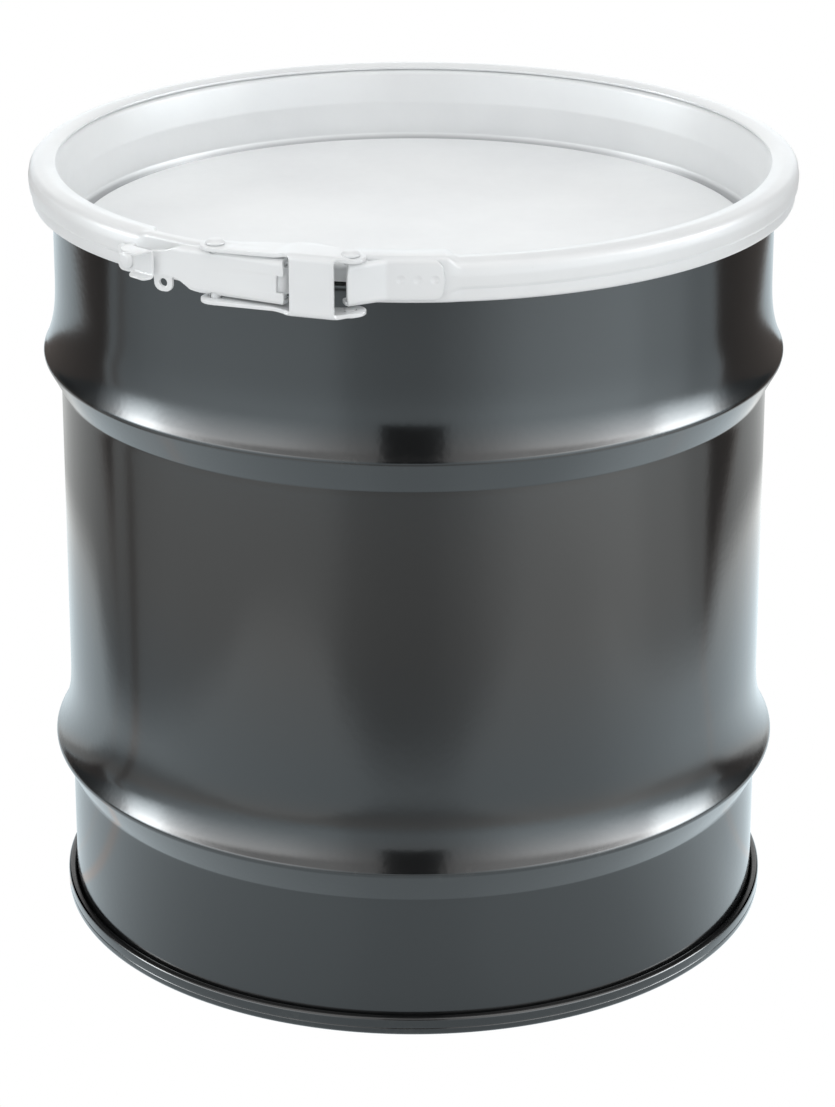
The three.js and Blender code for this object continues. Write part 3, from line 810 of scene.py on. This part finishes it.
def safety_clip():
    """A flat foot on the ring, a step outwards, and a front plate with bent edges over the lever's tip."""
    azimuth, rivet, foot = CLIP["azimuth"], CLIP["rivet"], CLIP["foot"]
    bottom, top = CLIP["bottom"], CLIP["top"]
    seat = RING_RADIUS + SEAT_GAP + CLIP_SHEET / 2
    foot_start, foot_end, bend = -7.0, 6.8, 2.6
    corners = [Vector((foot_end, seat))]
    corners += [Vector(to_frame(azimuth, polar(*spot))) for spot in ((206.8, -38.0), (208.0, -34.6))]
    step, face = corners[1] - corners[0], corners[2] - corners[1]
    first = math.degrees(math.atan2(step.y, step.x))
    second = math.degrees(math.atan2(face.y, face.x)) - first
    foot_length = foot_end - foot_start
    plan_path = BendPath((foot_start, seat), 0.0, [
        (foot_length - bend / 2, 0), (bend, first), (step.length - bend, 0), (bend, second),
        (face.length - bend / 2, 0)])
    plate, end = foot_length + step.length, plan_path.nodes[-1][0]
    fold, fold_zero = channel_path(-10.5, CLIP_SHEET / 2, bottom, top, CLIP_SHEET)
    total = fold.nodes[-1][0]

    def web(height):
        return height + fold_zero

    upper_edge = [
        (0.6, web(rivet), foot), (0.6, web(rivet + foot), 6.2), (12, web(rivet + foot), 3),
        (plate - 6, web(rivet + 6.6), 3), (plate - 3.5, web(top - 2.0), 2.5), (plate - 1.8, web(top), 1.5),
        (plate + 1.5, total - 1, 2), (end - 1, total, 2), (end, web(top - 1.0), 1),
    ]
    lower_edge = [
        (end, web(bottom + 1.0), 1), (end - 1.5, web(bottom) - 3.8, 2), (plate + 1.5, web(bottom) - 3.4, 2),
        (plate - 1.0, web(bottom + 0.6), 1.5), (plate - 5, web(bottom + 1.2), 2),
    ]
    slit_and_foot = [
        (14.6, web(rivet - 1.2), 1.3), (13.0, web(rivet - 1.2), 1.0), (12.6, web(rivet - 5.6), 2),
        (7, web(rivet - foot), 3), (0.6, web(rivet - foot), 6.2),
    ]
    outline = rounded(upper_edge + lower_edge + slit_and_foot, closed=True)
    sheet = blank(outline, [circle(-foot_start, web(rivet), HOLE_RADIUS)], CLIP_SHEET, 0.25)
    slice_at(sheet, 1, fold.cuts())
    slice_at(sheet, 0, plan_path.cuts())
    at = tangent_frame(azimuth)

    def mapping(x, y, z):
        flat = Vector((z, y - fold_zero))
        folded = flat.lerp(fold.place(y, z), smooth(x, plate - 3.0, plate))
        plan = plan_path.place(x, folded.x)
        spot = at(plan.x, plan.y)
        return Vector((spot.x, spot.y, folded.y))

    bend_vertices(sheet, mapping)
    finish_mesh("safety_clip", sheet, "safety_clip", ["safety_clip"], "white_paint")


def dome(radius, height):
    """Half of a rivet head's outline as (radius, height), from its rim to its pole."""
    shoulder = (radius * 0.62, height * 0.93, radius * 0.5)
    return rounded([(radius, 0), (radius, height * 0.34, 0.5), shoulder, (0, height)], steps=8)


def rivet(name, centre, shank, body, node, head_above=None, head_below=None):
    """An upright rivet: shank is (bottom, top); a head's place is the height it seats at."""
    radius, height = 4.4, 2.3
    bottom, top = shank
    upper = [Vector((SHANK_RADIUS, top)), Vector((0, top))]
    lower = [Vector((0, bottom)), Vector((SHANK_RADIUS, bottom))]
    if head_above:
        head = [Vector((p.x, head_above + p.y)) for p in dome(radius, height)]
        upper = [Vector((SHANK_RADIUS, head_above))] + head
    if head_below:
        head = [Vector((p.x, head_below - p.y)) for p in dome(radius, height * 0.55)]
        lower = head[::-1] + [Vector((SHANK_RADIUS, head_below))]
    turned(name, lower + upper, body, [node], "white_paint", centre=tuple(centre), sides=40, sharp=40.0)


def clip_rivet():
    """The rivet through the clip's foot, which points away from the drum's axis."""
    azimuth, sides = CLIP["azimuth"], 44
    seat = RING_RADIUS + 2 * SEAT_GAP + CLIP_SHEET
    outline = [Vector((0, -CLIP_SHEET)), Vector((SHANK_RADIUS, -CLIP_SHEET)), Vector((SHANK_RADIUS, 0))]
    outline += dome(4.6, 2.3)
    mesh_data = bmesh.new()
    along = Vector((*tangent_frame(azimuth)(1, 0), 0))
    out = Vector((*polar(1, azimuth), 0))
    loops = []
    for p in outline:
        base = out * (seat + p.y) + Vector((0, 0, CLIP["rivet"]))
        if p.x < ON_AXIS:
            loops.append([mesh_data.verts.new(base)])
            continue
        turns = [2 * math.pi * i / sides for i in range(sides)]
        rim = [base + (along * math.cos(a) + Vector((0, 0, math.sin(a)))) * p.x for a in turns]
        loops.append([mesh_data.verts.new(p) for p in rim])
    join_loops(mesh_data, loops, closed=False)
    finish_mesh("clip_rivet", mesh_data, "safety_clip", ["clip_rivet"], "white_paint", 40.0)


def rivets():
    low, high = LINK["bottom"] - 0.3, LINK["top"] + 0.3
    above_ear, below_ear = 397.05, 374.45
    pivot_p, pivot_l, pivot_r = PIVOTS["P"], PIVOTS["L"], PIVOTS["R"]
    rivet("link_lever_rivet", pivot_p, (low, high), "link", "link_lever_rivet", high, low)
    rivet("link_end_rivet_upper", pivot_r, (above_ear, high), "link", "link_end_rivet_upper", head_above=high)
    rivet("link_end_rivet_lower", pivot_r, (low, below_ear), "link", "link_end_rivet_lower", head_below=low)
    rivet("lever_pin", pivot_l, (LEVER["bottom"] + 0.1, LEVER["top"] - 0.1), "ring_left", "lever_pin")


# ---------------------------------------------------------------- studio, in metres
# In glossy reflections the studio is uneven, as the photo's black paint shows it. The points of its curves
# are rounded from brightnesses worked out from the photo's greys, and then adjusted by comparing renders.
def stage_sheet(name, corners, material):
    mesh = bpy.data.meshes.new(name)
    mesh.from_pydata(corners, [], [(0, 1, 2, 3)])
    mesh.materials.append(material)
    sheet = bpy.data.objects.new(name, mesh)
    bpy.context.scene.collection.objects.link(sheet)
    return sheet


def glowing(name):
    material = bpy.data.materials.new(name)
    return Graph(material, "ShaderNodeEmission", "ShaderNodeOutputMaterial", "Object")


def in_reflections(graph, reflected, tint, lighting):
    """Full white to the camera, reflected and tinted in glossy reflections, and plain light for the rest."""
    path = graph.add("ShaderNodeLightPath").outputs
    camera, glossy = path["Is Camera Ray"], path["Is Glossy Ray"]
    rest = graph.math("SUBTRACT", graph.math("SUBTRACT", 1.0, camera), glossy)
    glow = graph.math("MULTIPLY", glossy, reflected)
    glow = graph.math("ADD", glow, graph.math("MULTIPLY", rest, lighting))
    graph.link(graph.math("ADD", glow, camera), graph.shader.inputs["Strength"])
    graph.link(graph.mix(glossy, (1.0, 1.0, 1.0), tint), graph.shader.inputs["Color"])


def surroundings(n, azimuth):
    """How bright the studio is at the foot of the tent, by azimuth."""
    return n.curve(azimuth, [
        (-180, 1.0), (-135, 1.05), (-98, 0.95), (-86, 1.3), (-68, 1.8), (-49, 2.0), (-29, 1.95), (-15, 1.35),
        (0, 1.2), (10, 1.4), (24, 2.1), (39, 2.7), (59, 2.9), (72, 2.4), (86, 1.8), (98, 1.15), (140, 1.0),
        (180, 1.0)], -180, 180, 3)


COOL, NEUTRAL, BROWN = (0.88, 1.0, 1.06), (0.98, 1.0, 0.99), (1.12, 0.98, 0.9)


def floor():
    """A pale floor. In the gloss it is even near the drum, and farther out as bright as the tent."""
    n = glowing("floor")
    distance, azimuth, _ = n.round_axis()
    near = near_floor(n, distance, azimuth)
    growth = n.curve(distance, [(0.5, 0.62), (0.8, 0.8), (1.15, 1.0), (3.0, 1.25)], 0.5, 3.0, 1.25)
    gaps = floor_gaps(n, distance, azimuth)
    far = n.math("MULTIPLY", surroundings(n, azimuth), growth)
    far = n.math("MULTIPLY", far, n.ramp(gaps, 0, 1, 1, 0.14))
    beyond = n.ramp(n.math("SUBTRACT", distance, rim(n, azimuth)), -0.04, 0.05)
    within = n.math("SUBTRACT", 1.0, beyond)
    glow = n.math("ADD", n.math("MULTIPLY", near, within), n.math("MULTIPLY", far, beyond))
    middle = n.ramp(n.math("ABSOLUTE", n.math("SUBTRACT", distance, 0.75), 0.0), 0.12, 0.3)
    tint = n.mix(gaps, n.mix(middle, NEUTRAL, COOL), BROWN)
    in_reflections(n, glow, tint, 0.8)
    size = 6.0
    stage_sheet("floor", [(-size, -size, 0), (size, -size, 0), (size, size, 0), (-size, size, 0)], n.owner)


def near_floor(n, distance, azimuth):
    """The brightness of the floor round the drum's foot."""
    along = n.curve(distance, [(0.18, 1.38), (0.25, 1.5), (0.42, 1.76), (0.65, 1.9)], 0.18, 0.65, 2)
    uneven = n.curve(azimuth, [
        (-180, 0.7), (-135, 0.68), (-110, 0.76), (-90, 0.9), (-65, 1.05), (-20, 1.0), (0, 0.88), (20, 1.0),
        (45, 1.06), (70, 1.2), (90, 1.02), (110, 0.9), (135, 0.8), (180, 0.7)], -180, 180, 1.25)
    return n.math("MULTIPLY", along, uneven)


def rim(n, azimuth):
    """How far from the axis the near floor reaches."""
    return n.curve(azimuth, [
        (-180, 0.6), (-120, 0.62), (-105, 0.5), (-90, 0.42), (-70, 0.47), (-55, 0.56), (-36, 0.68),
        (-18, 0.54), (0, 0.47), (18, 0.54), (30, 0.66), (45, 0.74), (58, 0.66), (68, 0.55), (92, 0.52),
        (108, 0.62), (130, 0.66), (180, 0.6)], -180, 180, 0.8)


def floor_gaps(n, distance, azimuth):
    """1 in the two dark gaps behind the drum, and less in a thin seam on the left."""
    mirrored = n.math("MULTIPLY", azimuth, -1.0)
    right = floor_gap(n, distance, azimuth,
                      [(0.5, 92), (0.6, 95.5), (0.8, 99.5), (1.2, 103.5), (1.6, 106)],
                      [(0.5, 93), (0.6, 100), (0.8, 116), (1.15, 140), (1.5, 180), (1.6, 184)])
    left = floor_gap(n, distance, mirrored,
                     [(0.5, 94), (0.6, 98.5), (0.8, 103), (1.2, 104.5), (1.6, 106)],
                     [(0.5, 94), (0.6, 100), (0.8, 109), (1.15, 124), (1.5, 180), (1.6, 184)])
    line = n.curve(distance, [(0.4, 84), (0.6, 90), (0.8, 94), (1.2, 98.3), (1.6, 101)], 0.4, 1.6, 190)
    off_line = n.math("ABSOLUTE", n.math("SUBTRACT", mirrored, line), 0.0)
    seam = n.ramp(off_line, 2.4, 0.9, 0, 0.6)
    return n.math("MAXIMUM", n.math("MAXIMUM", right, left), seam)


def floor_gap(n, distance, angle, inner, outer):
    """1 in a dark wedge of the floor between two lines, each given as (distance, angle) points."""
    inner = n.curve(distance, inner, 0.5, 1.6, 190)
    outer = n.curve(distance, outer, 0.5, 1.6, 190)
    return n.math("MULTIPLY", n.ramp(n.math("SUBTRACT", angle, inner), -1.0, 1.2),
                  n.ramp(n.math("SUBTRACT", outer, angle), -2.0, 5.0))


def tent():
    """The white light tent, with soft boxes at both sides and a backdrop that show in the gloss."""
    n = Graph(bpy.data.worlds.new("tent"), "ShaderNodeBackground", "ShaderNodeOutputWorld", "Generated")
    _, azimuth, height = n.round_axis()
    boxes = n.curve(azimuth, [
        (-180, 0), (-114, 0.2), (-106, 1.5), (-99, 8), (-90, 26), (-82, 15), (-72, 7.5), (-60, 4.2),
        (-40, 2.6), (-22, 0.6), (0, 0.0), (12, 0.1), (25, 0.7), (38, 2.2), (50, 3.6), (64, 7.5), (76, 11),
        (87, 24), (96, 23), (104, 6), (113, 0.6), (180, 0)], -180, 180, 30)
    lifted = n.math("MULTIPLY", n.ramp(height, -0.04, 0.32), n.ramp(height, 0.45, 0.35))
    side = n.math("ABSOLUTE", azimuth, 0.0)
    low = n.math("MULTIPLY", surroundings(n, azimuth), n.ramp(side, 104, 111, 1.2, 0.13))
    backdrop = n.math("MULTIPLY", n.ramp(side, 142, 160, 0, 1.75), n.ramp(height, 0.55, 0.4))
    glow = n.math("ADD", n.math("MULTIPLY", boxes, lifted), n.math("MAXIMUM", low, backdrop))
    tint = n.mix(n.ramp(height, 0.0, 0.4), COOL, (1.0, 1.0, 1.0))
    off_side = n.math("ABSOLUTE", n.math("SUBTRACT", side, 90.0), 0.0)
    overhead = n.math("MULTIPLY", n.ramp(height, 0.1, 0.9, 0.88, 1.22), n.ramp(off_side, 5, 70, 0.78, 1.06))
    in_reflections(n, glow, tint, overhead)
    bpy.context.scene.world = n.owner


def lens_opening():
    """The dark opening of the tent in front of the drum. It only shows in reflections."""
    dark = glowing("opening")
    dark.shader.inputs["Strength"].default_value = 0.05
    half_width, y, low, high = 0.205, -1.27, 0.31, 1.05
    corners = [(-half_width, y, low), (half_width, y, low), (half_width, y, high), (-half_width, y, high)]
    sheet = stage_sheet("opening", corners, dark.owner)
    sheet.visible_camera = False
    sheet.visible_diffuse = False
    sheet.visible_shadow = False


def studio():
    bpy.context.scene.view_settings.view_transform = "Standard"
    floor()
    tent()
    lens_opening()


def camera():
    distance, height, pitch = 1.677, 0.8484, 18.141
    data = bpy.data.cameras.new("camera")
    data.sensor_width = 36.0
    data.lens = 112.98
    data.shift_x, data.shift_y = 0.0035, -0.2
    data.clip_start = 0.05
    view = bpy.data.objects.new("camera", data)
    view.location = (0.0, AXIS_Y * MM - distance, height)
    view.rotation_euler = Euler((math.radians(90 - pitch), 0, 0))
    bpy.context.scene.collection.objects.link(view)
    bpy.context.scene.camera = view


drum_body()
drum_bottom()
drum_cover()
cover_seal()
closing_ring()
lever_bracket()
lever()
link()
strap_bracket()
safety_clip()
clip_rivet()
rivets()
studio()
camera()
